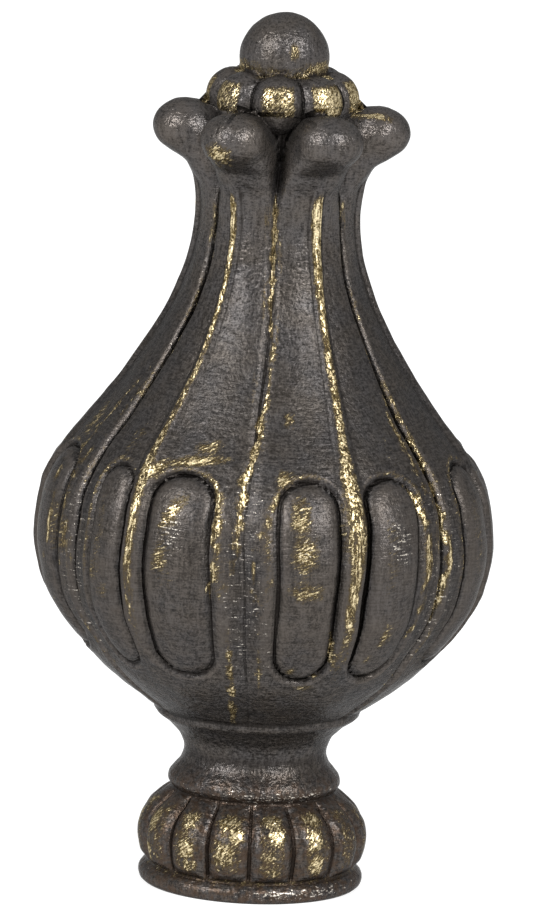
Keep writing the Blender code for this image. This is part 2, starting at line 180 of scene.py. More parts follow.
def petal_place(theta, z):
    """The place round the finial in petals: whole numbers on the ribs, halves on the seams."""
    wander = 0.9 * np.sin(z / (4.3 * MM) + 3 * theta) + 0.5 * np.sin(z / (1.7 * MM) - 5 * theta)
    degrees = (theta / DEG + 60 + 0.6 * wander) % 360 - 60
    base = (degrees + 180 / PETAL_COUNT) * PETAL_COUNT / 360
    place = between(base, by_marks(degrees, BULB_RIBS, BULB_SEAMS), fade(z, WAIST_Z, LEDGE_Z))
    up = fade(z, between(BULB_Z, NECK_Z, 0.3), between(BULB_Z, NECK_Z, 0.8))
    place = between(place, by_marks(degrees, NECK_RIBS, NECK_SEAMS), up)
    up = fade(z, between(NECK_Z, HEAD_Z, 0.2), HEAD_Z)
    return between(place, by_marks(degrees, HEAD_RIBS, HEAD_SEAMS), up)


def crest_radius(z):
    """The turned profile over the crests of the gadroons and the ribs of the petals."""
    top = between(WAIST_RADIUS, ROLL_RADIUS, 0.95)

    def band(low_z, high_z, low_r, high_r, *shares):
        return [(between(low_z, high_z, s), between(low_r, high_r, t)) for s, t in shares]

    stations = [
        (0, FOOT_RADIUS - FOOT_EDGE),
        (0.1 * FOOT_HEIGHT, FOOT_RADIUS - 0.35 * FOOT_EDGE),
        (0.4 * FOOT_HEIGHT, FOOT_RADIUS),
        (0.75 * FOOT_HEIGHT, between(NOTCH_RADIUS, FOOT_RADIUS, 0.7)),
        (FOOT_HEIGHT, NOTCH_RADIUS),
        (between(GADROON_Z, ROLL_Z, 0.12), between(NOTCH_RADIUS, GADROON_RADIUS, 0.58)),
        *band(GADROON_Z, ROLL_Z, top, GADROON_RADIUS, (0.41, 1), (0.58, 0.92), (0.71, 0.75)),
        *band(GADROON_Z, ROLL_Z, top, GADROON_RADIUS, (0.82, 0.5), (0.93, 0.19), (1, 0)),
        *band(ROLL_Z, WAIST_Z, WAIST_RADIUS, ROLL_RADIUS, (0.32, 1), (0.6, 0.95), (0.9, 0.66)),
        *band(WAIST_Z, LEDGE_Z, WAIST_RADIUS, LEDGE_RADIUS, (0.1, 0.12), (0.3, 0), (0.56, 0.16)),
        *band(WAIST_Z, LEDGE_Z, WAIST_RADIUS, LEDGE_RADIUS, (0.76, 0.5), (0.9, 0.78), (1, 1)),
        *band(LEDGE_Z, BULB_Z, LEDGE_RADIUS, BULB_RADIUS, (0.08, 0.13), (0.17, 0.3), (0.3, 0.51)),
        *band(LEDGE_Z, BULB_Z, LEDGE_RADIUS, BULB_RADIUS, (0.43, 0.67), (0.58, 0.825), (0.745, 0.94)),
        (BULB_Z, BULB_RADIUS),
        *band(BULB_Z, NECK_Z, BULB_RADIUS, NECK_RADIUS, (0.142, 0.038), (0.234, 0.125), (0.305, 0.228)),
        *band(BULB_Z, NECK_Z, BULB_RADIUS, NECK_RADIUS, (0.408, 0.414), (0.507, 0.572), (0.635, 0.75)),
        *band(BULB_Z, NECK_Z, BULB_RADIUS, NECK_RADIUS, (0.762, 0.888), (0.89, 0.973), (1, 1)),
        *band(NECK_Z, HEAD_Z, NECK_RADIUS, HEAD_RADIUS, (0.37, 0.3), (0.58, 0.9), (0.72, 1.5), (1, 1.1)),
    ]
    return smooth_curve(z, stations)


def gadroon_line(theta):
    """0 on a gadroon's crest, 1 on the line between two. They were set out by eye."""
    turn = theta / (2 * math.pi) * GADROON_COUNT + 0.03 * np.sin(3 * theta + 1) + 0.02 * np.sin(7 * theta)
    return np.abs(2 * (turn - np.floor(turn)) - 1)


def gadroon_relief(theta, z, crest):
    """Cuts the turned foot into round gadroons, closed at their ends."""
    along = np.abs(2 * (z - GADROON_Z) / GADROON_HEIGHT - 1)
    across = 1 - np.sqrt(np.clip(1 - gadroon_line(theta) ** 2.3, 0, 1))
    at_ends = 1 - np.sqrt(np.clip(1 - np.clip(along, 0, 1) ** 6, 0, 1))
    cut = np.maximum(across * fade(along, 1.08, 0.8), 0.35 * at_ends)
    return crest - GADROON_DEPTH * fade(along, 1.25, 1.0) * cut


class Petals:
    """Where each point lies on its petal, worked out once for all that is carved there."""

    def __init__(self, theta, z, crest):
        place = petal_place(theta, z)
        nearest = np.round(place)
        half_angle = math.pi / PETAL_COUNT
        self.petal = nearest.astype(int) % PETAL_COUNT
        self.right = place > nearest
        self.side = np.abs(2 * (place - nearest))
        self.seam = np.floor(place).astype(int) % PETAL_COUNT
        self.from_rib = self.side * half_angle * crest
        self.from_seam = (1 - self.side) * half_angle * crest
        self.up = (z - BULB_Z) / (NECK_Z - BULB_Z)
        self.lip = SEAM_LIPS[self.seam] * between(1, 0.55, fade(self.up, 0, 0.6))
        self.seam_side = np.where(place - np.floor(place) > 0.5, 1, -1)
        widen = np.where(self.right, OVAL_RIGHT[self.petal], OVAL_LEFT[self.petal])
        self.oval_across = (self.side - OVAL_PLACE) * half_angle * BULB_RADIUS
        self.oval_half = OVAL_SHARE * half_angle * BULB_RADIUS * widen
        straight = OVAL_LENGTH / 2 - OVAL_END * self.oval_half
        past = np.clip(np.abs(z - OVAL_Z) - straight, 0, None)
        self.oval_along = np.sign(z - OVAL_Z) * past / OVAL_END
        from_middle = np.hypot(self.oval_across, self.oval_along)
        self.from_oval = from_middle - self.oval_half
        cuts = OVAL_CUTS[self.petal, self.right.astype(int)]
        beside = np.where(self.oval_across < 0, cuts[..., 0], cuts[..., 2])
        at_end = np.where(z > OVAL_Z, cuts[..., 1], cuts[..., 3])
        turned = (self.oval_along / np.maximum(from_middle, 0.01 * MM)) ** 2
        near_end = fade(np.abs(z - OVAL_Z), 0.1 * OVAL_LENGTH, 0.4 * OVAL_LENGTH)
        self.oval_cut = between(between(beside, at_end, 0.4 * near_end), at_end, turned)


def petal_relief(theta, z, crest):
    """The midrib, the seams with their lips and the oval bosses, cut into the turned bud."""
    p = Petals(theta, z, crest)
    on_petals = fade(z, LEDGE_Z - 0.1 * MM, LEDGE_Z + 1.6 * MM)
    rib_width = between(RIB_WIDTH_BULB, RIB_WIDTH_NECK, fade(p.up, 0.1, 0.7))
    rib_on = fade(z, between(LEDGE_Z, BULB_Z, 0.25), between(LEDGE_Z, BULB_Z, 0.5))
    rib_on = rib_on * fade(z, HEAD_Z - 3.5 * MM, NECK_Z + 2 * MM)
    rib = fade(p.from_rib, 0.72 * rib_width, 0.3 * rib_width)
    rib = rib + 0.25 * bell(p.from_rib, 0.2 * rib_width)
    surface = crest - RIB_HEIGHT * rib_on * (1.15 - rib) - PETAL_CROWN * p.side**2 * on_petals

    high = fade(z, NECK_Z - 0.5 * MM, HEAD_Z - 1 * MM)
    lips = LIP_HEIGHT * bell(p.from_seam - p.lip, LIP_WIDTH) * (1 - high)
    crack = between(SEAM_CRACKS[p.seam], CROWN_CRACK, high)
    crack_width = between(0.26 * MM + 0.7 * SEAM_CRACKS[p.seam], CROWN_CRACK_WIDTH, high)
    surface = surface + on_petals * (lips - crack * np.clip(1 - p.from_seam / crack_width, 0, 1) ** 1.3)
    surface = surface - on_petals * SEAM_DISH * bell(p.from_seam, 0.9 * p.lip) * (1 - high)

    deep = 0.25 + 0.75 * p.oval_cut
    surface = surface - deep * OVAL_DISH * bell(p.from_oval, OVAL_DISH_WIDTH)
    surface = surface - p.oval_cut * OVAL_GROOVE * bell(p.from_oval + 0.05 * MM, OVAL_GROOVE_WIDTH)
    surface = surface + OVAL_SWELL * (1 - np.exp(np.clip(p.from_oval, None, 0) / OVAL_SWELL_WIDTH))
    surface = surface + OVAL_RIM * bell(p.from_oval - OVAL_RIM_PLACE, OVAL_RIM_WIDTH)

    # Above the neck each petal is a tongue of its own, with a deep gap beside it
    tongue = np.clip(1 - (p.side / 0.93) ** 3.2, 0, 1) ** 0.5
    gap = between(NECK_RADIUS - 0.9 * MM, THROAT_RADIUS, fade(z, NECK_Z, HEAD_Z))
    apart = fade(z, NECK_Z - 2 * MM, NECK_Z + 3 * MM)
    return between(surface, np.minimum(surface, between(gap, surface, tongue)), apart)


def ellipsoid(x, y, z):
    """A field that is about a distance near the ellipsoid's surface, in units of its half sizes."""
    return np.sqrt(x * x + y * y + z * z) - 1


def soft_union(a, b, width):
    """Joins two fields with a fillet of about the width."""
    share = np.clip(0.5 + 0.5 * (b - a) / width, 0, 1)
    return between(b, a, share) - width * share * (1 - share)


def body_field(r, theta, z):
    """Everything from the foot to the top of the petals, but for their heads."""
    crest = crest_radius(z)
    surface = np.where(z < WAIST_Z, gadroon_relief(theta, z, crest), petal_relief(theta, z, crest))
    lip_z = LEDGE_Z - 0.25 * MM + 0.12 * MM * np.sin(2 * theta)
    surface = surface + LEDGE_LIP * bell(z - lip_z, LEDGE_LIP_WIDTH)
    surface = surface - LEDGE_GROOVE * bell(z - lip_z - 0.8 * MM, LEDGE_GROOVE_WIDTH)
    place = petal_place(theta, z)
    side = np.abs(2 * (place - np.round(place)))
    dome = (0.3 - 0.75 * side**2) * HEAD_THICKNESS
    return np.maximum(0.75 * (r - surface), 0.8 * (z - HEAD_Z - dome))


def head_field(r, theta, z):
    """The nearest petal's head: a flattened ball that runs back to the throat as a tongue."""
    place = petal_place(theta, z)
    offset = (place - np.round(place)) * 2 * math.pi / PETAL_COUNT
    out = r * np.cos(offset) - HEAD_RADIUS
    across = r * np.sin(offset)
    half_width = HEAD_WIDTH / 2 + 0.3 * np.clip(out, -HEAD_RADIUS, 0)
    droop = 0.12 * np.clip(out, None, 0)
    near = ellipsoid(
        np.clip(out, 0, None) / (HEAD_LENGTH / 2),
        across / half_width,
        (z - HEAD_Z - droop) / (HEAD_THICKNESS / 2),
    )
    return near * HEAD_THICKNESS / 2


def lobe_offset(theta):
    """The angle from the middle of the nearest lobe of the collar."""
    turn = (theta / DEG - LOBE_START) * LOBE_COUNT / 360
    return (turn - np.round(turn)) * 2 * math.pi / LOBE_COUNT


def collar_field(r, theta, z):
    """A ring of lobes round a plain core. Each is an ellipsoid, narrower below."""
    offset = lobe_offset(theta)
    depth = COLLAR_RADIUS - COLLAR_MIDDLE
    narrowing = 1 - LOBE_TAPER * np.clip((COLLAR_Z - z) / (COLLAR_THICKNESS / 2), 0, 1)
    lobe = ellipsoid(
        (r * np.cos(offset) - COLLAR_MIDDLE) / depth,
        r * np.sin(offset) / (LOBE_WIDTH / 2 * narrowing),
        (z - COLLAR_Z) / (COLLAR_THICKNESS / 2),
    )
    core = np.maximum(r - COLLAR_MIDDLE, z - between(COLLAR_Z, COLLAR_TOP, 0.85))
    return np.minimum(lobe * depth, core)


def ball_field(r, z):
    return ellipsoid(r / BALL_RADIUS, 0 * z, (z - BALL_Z) / (BALL_HEIGHT / 2)) * BALL_HEIGHT / 2


def finial_field(r, theta, z):
    """Less than 0 inside the casting, 0 on its surface."""
    petals = soft_union(body_field(r, theta, z), head_field(r, theta, z), HEAD_BLEND)
    crown = np.minimum(collar_field(r, theta, z), ball_field(r, z))
    return np.minimum(petals, crown)


def even_steps(*marks):
    """Places from the first mark to the last, with each stretch's own number of steps."""
    places = [marks[0]]
    for count, end in zip(marks[1::2], marks[2::2]):
        places.extend(np.linspace(places[-1], end, count + 1)[1:])
    return np.array(places)


def carving_lines():
    """For each ring from the foot up, the (r, z) where its points start and where they aim.

    Beside the body the lines are level. Over the heads, the collar and the ball they fan out.
    """
    level = even_steps(
        0, 8, FOOT_HEIGHT, 44, ROLL_Z, 12, WAIST_Z, 20, LEDGE_Z, 16, OVAL_Z - 1.1 * OVAL_LENGTH / 2,
        13, OVAL_Z - 0.8 * OVAL_LENGTH / 2, 34, OVAL_Z + 0.8 * OVAL_LENGTH / 2,
        13, OVAL_Z + 1.1 * OVAL_LENGTH / 2, 52, NECK_Z, 12, between(NECK_Z, HEAD_Z, 0.45),
    )
    lines = [(BULB_RADIUS + 1 * MM, z, 0.2 * WAIST_RADIUS, z) for z in level]

    turn = even_steps(-80, 44, 97)
    marks = (-80, -56, -32, -10, 12, 35, 57, 78, 97)
    aims = np.interp(turn, marks, (-0.8, -0.6, -0.4, -0.2, 0, 0.1, 0.16, 0.22, 0.27))
    for angle, aim_z in zip(turn * DEG, aims):
        start_r = HEAD_RADIUS + (HEAD_LENGTH / 2 + 1.2 * MM) * math.cos(angle)
        start_z = HEAD_Z + (HEAD_THICKNESS / 2 + 1.2 * MM) * math.sin(angle)
        lines.append((start_r, start_z, THROAT_RADIUS - 0.8 * MM, HEAD_Z + aim_z * HEAD_THICKNESS))

    depth, half = COLLAR_RADIUS - COLLAR_MIDDLE + 0.9 * MM, COLLAR_THICKNESS / 2 + 0.9 * MM
    turn = even_steps(-6, 28, 62)
    for angle, aim_z in zip(turn * DEG, np.interp(turn, (-6, 62), (-0.28, 0.18))):
        start_r = COLLAR_MIDDLE + depth * math.cos(angle)
        start_z = COLLAR_Z + half * math.sin(angle)
        lines.append((start_r, start_z, COLLAR_MIDDLE - 0.5 * MM, COLLAR_Z + aim_z * COLLAR_THICKNESS))

    reach = BALL_RADIUS + 1.2 * MM
    turn = even_steps(-10, 6, 8, 26, 88)
    aim_r = np.interp(turn, (-10, 0, 10), (0.6, 0.53, 0)) * BALL_RADIUS
    aim_z = BALL_Z + np.interp(turn, (-10, 0, 10), (-0.66, -0.62, 0)) * BALL_HEIGHT / 2
    for angle, r, z in zip(turn * DEG, aim_r, aim_z):
        lines.append((reach * math.cos(angle), BALL_Z + reach * math.sin(angle), r, z))
    return np.array(lines)


def column_angles(z):
    """The angle of each column at the height z: close together along what is carved, even below."""
    side = np.linspace(0, 1, 2001)
    crowding = 1
    for carved in (0.13, 0.68, 0.99):
        crowding = crowding + 2.2 * bell(side - carved, 0.06)
    share = np.concatenate([[0], np.cumsum(crowding[1:])])
    half = np.interp(np.arange(0.5, SEAM_TO_SEAM / 2) / (SEAM_TO_SEAM / 2), share / share[-1], side) / 2
    one = np.concatenate([[-0.5], -half[::-1], half])
    wanted = np.concatenate([one + k for k in range(PETAL_COUNT)])
    theta = np.linspace(-90, 330, 4201) * DEG
    place = np.unwrap(petal_place(theta, z + 0 * theta), period=PETAL_COUNT)
    place += np.round(-0.5 - np.interp(-60 * DEG, theta, place))
    by_petals = np.interp(wanted, place, theta)
    even = (np.arange(COLUMNS) * 360 / COLUMNS - 64) * DEG
    return between(even, by_petals, fade(z, WAIST_Z, LEDGE_Z) * fade(z, COLLAR_TOP, HEAD_Z))


def carved_points():
    """Where the lines meet the form: (r, angle, z), each as rings by columns."""
    lines = carving_lines()
    start_r, start_z, aim_r, aim_z = lines.T[:, :, None]
    theta = np.array([column_angles(z) for z in lines[:, 1]])
    length = np.hypot(aim_r - start_r, aim_z - start_z)
    share = np.zeros(theta.shape)
    for _ in range(PUSHES):
        field = finial_field(between(start_r, aim_r, share), theta, between(start_z, aim_z, share))
        share = np.clip(share + 0.8 * field / length, 0, 1)
    return between(start_r, aim_r, share), theta, between(start_z, aim_z, share)


def to_xyz(r, theta, z):
    """Points from the radius, the angle round from the front and the height."""
    return np.stack([r * np.sin(theta), -r * np.cos(theta), z + 0 * r], axis=-1)


def neighbours_mean(grid, ring_step, column_step):
    """The mean of the four grid neighbours, the columns running round."""
    padded = np.pad(grid, [(ring_step, ring_step)] + [(0, 0)] * (grid.ndim - 1), mode="edge")
    along = padded[2 * ring_step :] + padded[: -2 * ring_step]
    around = np.roll(grid, column_step, axis=1) + np.roll(grid, -column_step, axis=1)
    return (along + around) / 4


def grid_normals(points):
    """The way out of the surface at each point of the rings and columns."""
    up = np.gradient(points, axis=0)
    around = np.roll(points, -1, axis=1) - np.roll(points, 1, axis=1)
    normal = np.cross(around, up)
    return normal / np.maximum(np.linalg.norm(normal, axis=2, keepdims=True), 1e-12)


def hand_work(points, normals):
    """Small dents and swellings left by the carving and the casting."""
    flat = points.reshape(-1, 3) / MM
    dents = np.array([
        0.07 * noise.noise(Vector(p) * 0.33) + 0.03 * noise.noise(Vector(p) * 1.1 + Vector((7, 0, 0)))
        for p in flat
    ])
    push = dents.reshape(points.shape[:2]) * fade(points[..., 2], 0.1 * MM, 0.8 * MM)
    return points + normals * (push * MM)[..., None]


def hollows(points, normals):
    """About 1 in a hollow, 0 on the flat and down to -1 on a sharp edge."""
    near = ((neighbours_mean(points, 2, 2) - points) * normals).sum(axis=2)
    wide = ((neighbours_mean(points, 6, 6) - points) * normals).sum(axis=2)
    depth = near / (0.09 * MM) + wide / (1.0 * MM)
    return np.clip(np.where(depth > 0, depth, 0.25 * depth + near / (0.3 * MM)), -1, 1)


def mm_beside(theta, z, angle):
    """Millimetres round the surface from an angle in degrees, counted to the right."""
    return ((theta / DEG - angle + 180) % 360 - 180) * DEG * crest_radius(z) / MM


def gold_patch(theta, z, angle, height, wide, tall, lean=0.0):
    """A brushed patch at an angle in degrees and a height in mm, wide and tall in mm."""
    across = mm_beside(theta, z, angle)
    above = z / MM - height
    across, above = across + lean * above, above - lean * across
    return np.exp(-((np.abs(across) / wide) ** 2.5) - (np.abs(above) / tall) ** 2.5)


# Gold along the seams and the rims of the front petals, from the top down: the height in mm, the
# angle in degrees, half the breadth in mm and the strength
GOLD_LINES = (
    (
        (61.2, -2, 0.2, 0.2), (60.6, -2, 0.3, 0.7), (57, -1.9, 0.35, 0.7), (50.8, -1.8, 0.28, 0.6),
        (48.5, 0, 0.25, 0.55), (44.6, -0.7, 0.3, 0.6), (43, -2.5, 0.4, 0.75), (41.5, -3.4, 0.4, 0.7),
        (38.4, -5.9, 0.45, 0.85), (36, -6.7, 0.45, 0.8), (33.5, -6.8, 0.4, 0.65), (31, -7.6, 0.3, 0.45),
        (28.2, -10, 0.25, 0.5), (25, -9.4, 0.25, 0.6), (22.9, -9.6, 0.3, 0.8), (20.2, -9, 0.35, 0.85),
        (18, -10.2, 0.35, 0.85), (16.6, -11.4, 0.4, 0.85), (15.4, -11.8, 0.2, 0.2),
    ),
    (
        (38.4, 4.2, 0.3, 0.2), (37.4, 3.3, 0.3, 0.7), (35.4, 1.1, 0.28, 0.65), (33, -1.9, 0.26, 0.6),
        (30.8, -2.6, 0.26, 0.6), (29, -2, 0.2, 0.45), (26.9, -1.2, 0.25, 0.55), (24, -0.6, 0.2, 0.4),
        (21.1, -0.1, 0.3, 0.6), (19.5, 0, 0.2, 0.1),
    ),
    (
        (38.6, -16.5, 0.3, 0.4), (37.8, -14.2, 0.32, 0.85), (36.7, -13.2, 0.35, 0.9),
        (35, -12.8, 0.35, 0.95), (31.7, -12.6, 0.3, 0.75), (29.9, -13.2, 0.3, 0.75), (28, -13.4, 0.2, 0.2),
    ),
    (
        (38, 41, 0.3, 0.4), (36.8, 44.7, 0.35, 0.85), (33.8, 47.7, 0.35, 0.9), (31, 47.6, 0.35, 0.9),
        (29.2, 46.8, 0.3, 0.85), (26.8, 46.4, 0.3, 0.75), (25.2, 45.8, 0.25, 0.6), (23, 45, 0.2, 0.1),
    ),
    (
        (47, 57, 0.2, 0.2), (44, 52, 0.3, 0.6), (40.3, 49, 0.3, 0.7), (37.7, 50, 0.3, 0.7),
        (36, 52, 0.3, 0.6), (34.3, 53.5, 0.2, 0.1),
    ),
    (
        (46, 58.5, 0.2, 0.3), (43.5, 57, 0.25, 0.6), (38.4, 55, 0.3, 0.7), (36.3, 54.6, 0.3, 0.75),
        (33.6, 55.2, 0.35, 0.95), (31.7, 56.5, 0.35, 0.95), (29, 55.6, 0.3, 0.8), (26.7, 54.5, 0.3, 0.6),
        (23, 54, 0.2, 0.1),
    ),
)

# Brushed patches of gold: the angle in degrees, the height, half the breadth and half the height in
# mm, the lean and the strength
BUD_PATCHES = (
    (-22.1, 39.4, 3.2, 0.42, 0.12, 0.85), (-34, 38.4, 1.4, 0.8, 0.3, 0.8),
    (-19.5, 40.5, 1.5, 0.6, 0.25, 0.62), (-24.6, 35.4, 0.85, 2.2, -0.55, 0.78),
    (-26.8, 31.5, 0.8, 1.6, -0.1, 0.68), (5.2, 38.5, 0.8, 0.9, -0.4, 0.75),
    (7.4, 42.9, 0.5, 0.7, 0, 0.7), (9.4, 35.6, 1.0, 1.9, 0, 0.72), (10.6, 32.6, 1.2, 1.9, 0, 0.72),
    (11.3, 29.4, 1.8, 1.0, 0, 0.64), (9.5, 21.8, 0.6, 0.5, 0, 0.6), (15.5, 20.2, 1.1, 0.35, 0, 0.55),
    (35.4, 25, 0.6, 1.5, 0, 0.62), (32.6, 22.8, 0.4, 0.6, 0, 0.5), (24.5, 34.5, 1.3, 3.4, 0, 0.72),
    (20.5, 24, 0.3, 2.6, 0.3, 0.7), (17.5, 21.2, 0.8, 0.35, 0.6, 0.6),
    (-48.5, 29.3, 0.7, 1.2, -0.3, 0.55), (-44.4, 27.8, 0.9, 0.8, 0, 0.5), (-47, 40.2, 0.9, 1.8, 0, 0.4),
    (-66, 35.4, 0.9, 1.6, 0.3, 0.52), (-77, 40.4, 1.4, 2.4, 0.3, 0.5), (-70, 31.8, 0.7, 3.4, 0, 0.42),
    (-29.5, 64.7, 1.1, 1.1, 0, 0.84), (-33, 63.8, 0.6, 0.8, 0, 0.5), (76, 67.4, 0.6, 0.5, 0, 0.6),
)
GADROON_PATCHES = (
    (-62, 6.0, 0.9, 1.1, 0, 0.9), (-64, 3.3, 0.8, 1.1, 0, 0.85), (-36, 6.6, 1.1, 0.8, 0, 0.75),
    (-35, 4.4, 1.1, 1.2, 0, 0.85), (-33, 2.9, 0.9, 0.7, 0, 0.75), (-12.5, 6.8, 1.3, 0.7, 0, 0.78),
    (-7.5, 5.9, 0.8, 0.7, 0, 1.0), (-13.5, 4.3, 1.3, 1.5, 0, 0.75), (11.6, 7.0, 1.1, 0.6, 0, 0.85),
    (13.8, 5.9, 0.9, 0.9, 0, 1.0), (10.7, 4.3, 0.9, 0.9, 0, 0.6), (12.4, 2.8, 0.9, 0.6, 0, 0.65),
    (37.5, 7.0, 0.9, 0.6, 0, 0.9), (34.8, 5.5, 0.9, 1.1, 0, 1.0), (35.8, 3.3, 0.9, 1.1, 0, 0.85),
    (58, 5.2, 0.9, 1.4, 0, 0.45),
)
# How many degrees round the front's lines and patches are laid, and how strong they are there
GOLD_TURNS = ((0, 1.0), (120, 0.5), (240, 0.8))
# Scratches round the foot of the ball: the height in mm and the strength
BALL_SCRATCHES = ((70.6, 0.8), (71.2, 0.85), (71.85, 0.6))
# Pale scratches on the front ovals: the angle in degrees, the height in mm and the strength
OVAL_SCRATCHES = ((-24.5, 34, 0.95), (11, 33.5, 0.85), (37, 33.3, 0.95))


def gold_line(theta, z, stations, turn):
    """A broken line of gold through the stations, turned round by degrees."""
    heights, angles, breadths, strengths = np.array(stations[::-1]).T
    mm = z / MM
    angle = np.interp(mm, heights, angles) + turn + 0.5 * np.sin(2.1 * mm) * np.sin(0.7 * mm)
    across = mm_beside(theta, z, angle)
    breadth = np.interp(mm, heights, breadths) * (1 + 0.35 * np.sin(3.3 * mm + turn))
    within = (mm > heights[0]) & (mm < heights[-1])
    return within * np.interp(mm, heights, strengths) * np.exp(-((np.abs(across) / breadth) ** 2.5))


def gold_on_petals(p, z):
    """The gold that follows the petals' carving, and where it is drawn along a rib or a lip."""
    mm = z / MM
    on_bud = fade(z, LEDGE_Z, LEDGE_Z + 2 * MM) * fade(z, HEAD_Z - 2.5 * MM, HEAD_Z - 4 * MM)

    # Ribs, broadest beside the ovals
    marks = (20, 24, 28, 32, 36, 38.5, 42, 50, 60)
    half = np.interp(mm, marks, (0.2, 0.3, 0.42, 0.5, 0.6, 0.6, 0.32, 0.28, 0.34))
    half = half * RIB_BREADTH[p.petal]
    marks = (17, 21, 25, 29, 37, 42, 48, 52, 60, 62)
    kept = np.interp(mm, marks, (0, 0.4, 0.6, 0.72, 0.78, 0.76, 0.74, 0.84, 1, 0))
    rib = fade(p.from_rib / MM, half + 0.3, half - 0.15) * kept * RIB_GOLD[p.petal] * on_bud
    # Lips of the seams
    broken = 0.5 + 0.5 * np.sin(mm * 0.9 + 4 * p.seam + 1.5 * p.seam_side)
    lips = bell(p.from_seam - p.lip, 0.3 * MM) * (0.15 + 0.35 * broken) * on_bud
    # Rims of the ovals, on top and towards the seam
    on_top = fade(z, OVAL_Z + 5 * MM, OVAL_Z + 8 * MM)
    towards = np.clip(0.35 + 0.5 * p.oval_across / p.oval_half + 0.6 * on_top, 0, 1)
    rims = bell(p.from_oval - OVAL_RIM_PLACE, 0.42 * MM) * towards * fade(mm, 24, 31) * on_bud
    # The ovals themselves, up and towards the left
    sideways = np.where(p.right, 1, -1) * p.oval_across / p.oval_half
    boss = bell(sideways + 0.25, 0.4) * fade(mm, 27, 30) * fade(mm, 37, 35)
    boss = boss * fade(p.from_oval, -0.8 * MM, -1.4 * MM)
    lengthways = fade(np.maximum(rib, lips) - np.maximum(rims, boss), 0, 0.3)
    return np.maximum.reduce([0.92 * rib, lips, 0.5 * rims, 0.34 * boss]), lengthways


def gold_on_crown(r, theta, z):
    """The gold on the collar's lobes and round the foot of the ball."""
    mm = z / MM
    to_right = fade(np.cos(theta - 70 * DEG), 0, 1)
    lobe_middle = fade(np.abs(lobe_offset(theta)) / DEG, 16 + 3 * to_right, 10 + 3 * to_right)
    on_lobe = fade(r, 4.2 * MM, 4.9 * MM) * fade(r, 7.1 * MM, 6.8 * MM)
    lobes = lobe_middle * on_lobe * fade(mm, 67.2, 68.0) * fade(mm, 70.6, 69.8) * (0.64 + 0.22 * to_right)
    ball = np.maximum.reduce([
        strength * bell(mm - height - 0.12 * np.sin(3 * theta + 5 * height), 0.2)
        for height, strength in BALL_SCRATCHES
    ])
    ball = ball * (r < 4.3 * MM) * (0.75 + 0.25 * np.sin(2 * theta - 1))
    ball = np.maximum(ball, 0.75 * gold_patch(theta, z, 14, 72.8, 1.1, 0.8) * (mm > 71))
    return np.maximum(lobes, ball)


def gilding(r, theta, z):
    """How much gold the brush left, 0 to 1, and where it was drawn along a rib or seam."""
    mm = z / MM
    gilt, lengthways = gold_on_petals(Petals(theta, z, crest_radius(z)), z)
    for turn, share in GOLD_TURNS:
        for angle, height, wide, tall, lean, strength in BUD_PATCHES + GADROON_PATCHES:
            patch = gold_patch(theta, z, angle + turn, height, wide, tall, lean)
            gilt = np.maximum(gilt, share * strength * patch)
        for stations in GOLD_LINES:
            line = share * gold_line(theta, z, stations, turn)
            lengthways = np.where(line > gilt, 1.0, lengthways)
            gilt = np.maximum(gilt, line)
    # A little on every gadroon's crown, and along the foot's edge
    gadroons = 0.4 * fade(gadroon_line(theta), 0.8, 0.45) * fade(mm, 2.2, 2.9) * fade(mm, 7.9, 7.2)
    foot = 0.34 * bell(mm - 1.75, 0.35) + 0.15 * bell(mm - 0.9, 0.7)
    gadroons = np.where(z < ROLL_Z, gadroons, 0)
    gilt = np.maximum.reduce([gilt, gadroons, gold_on_crown(r, theta, z), foot])
    return np.clip(gilt, 0, 1), lengthways


def silvering(theta, z):
    """How many pale flecks lie there, 0 to 1: on the roll, the foot, the seams, ovals and ball."""
    mm = z / MM
    p = Petals(theta, z, crest_radius(z))
    roll = bell(mm - 8.8, 0.8) * (0.7 + 0.3 * np.sin(2 * theta + 0.8))
    foot = bell(mm - 0.9, 0.7) * between(0.4, 0.95, fade(np.cos(theta - 26 * DEG), 0.7, 1.0))
    seams = 0.6 * fade(p.from_seam, 3.6 * MM, 1 * MM) * fade(mm, 17, 24) * fade(mm, 42, 36)
    neck = 0.4 * fade(p.from_seam, 1.6 * MM, 0.4 * MM) * fade(mm, 40, 46) * fade(mm, 60, 56)
    ball = 0.25 * fade(mm, 68, 71)
    ovals = np.maximum.reduce([
        strength * gold_patch(theta, z, angle, height, 1.4, 2.7)
        for angle, height, strength in OVAL_SCRATCHES
    ])
    return np.clip(np.maximum.reduce([roll, foot, seams, neck, ball, ovals]), 0, 1)


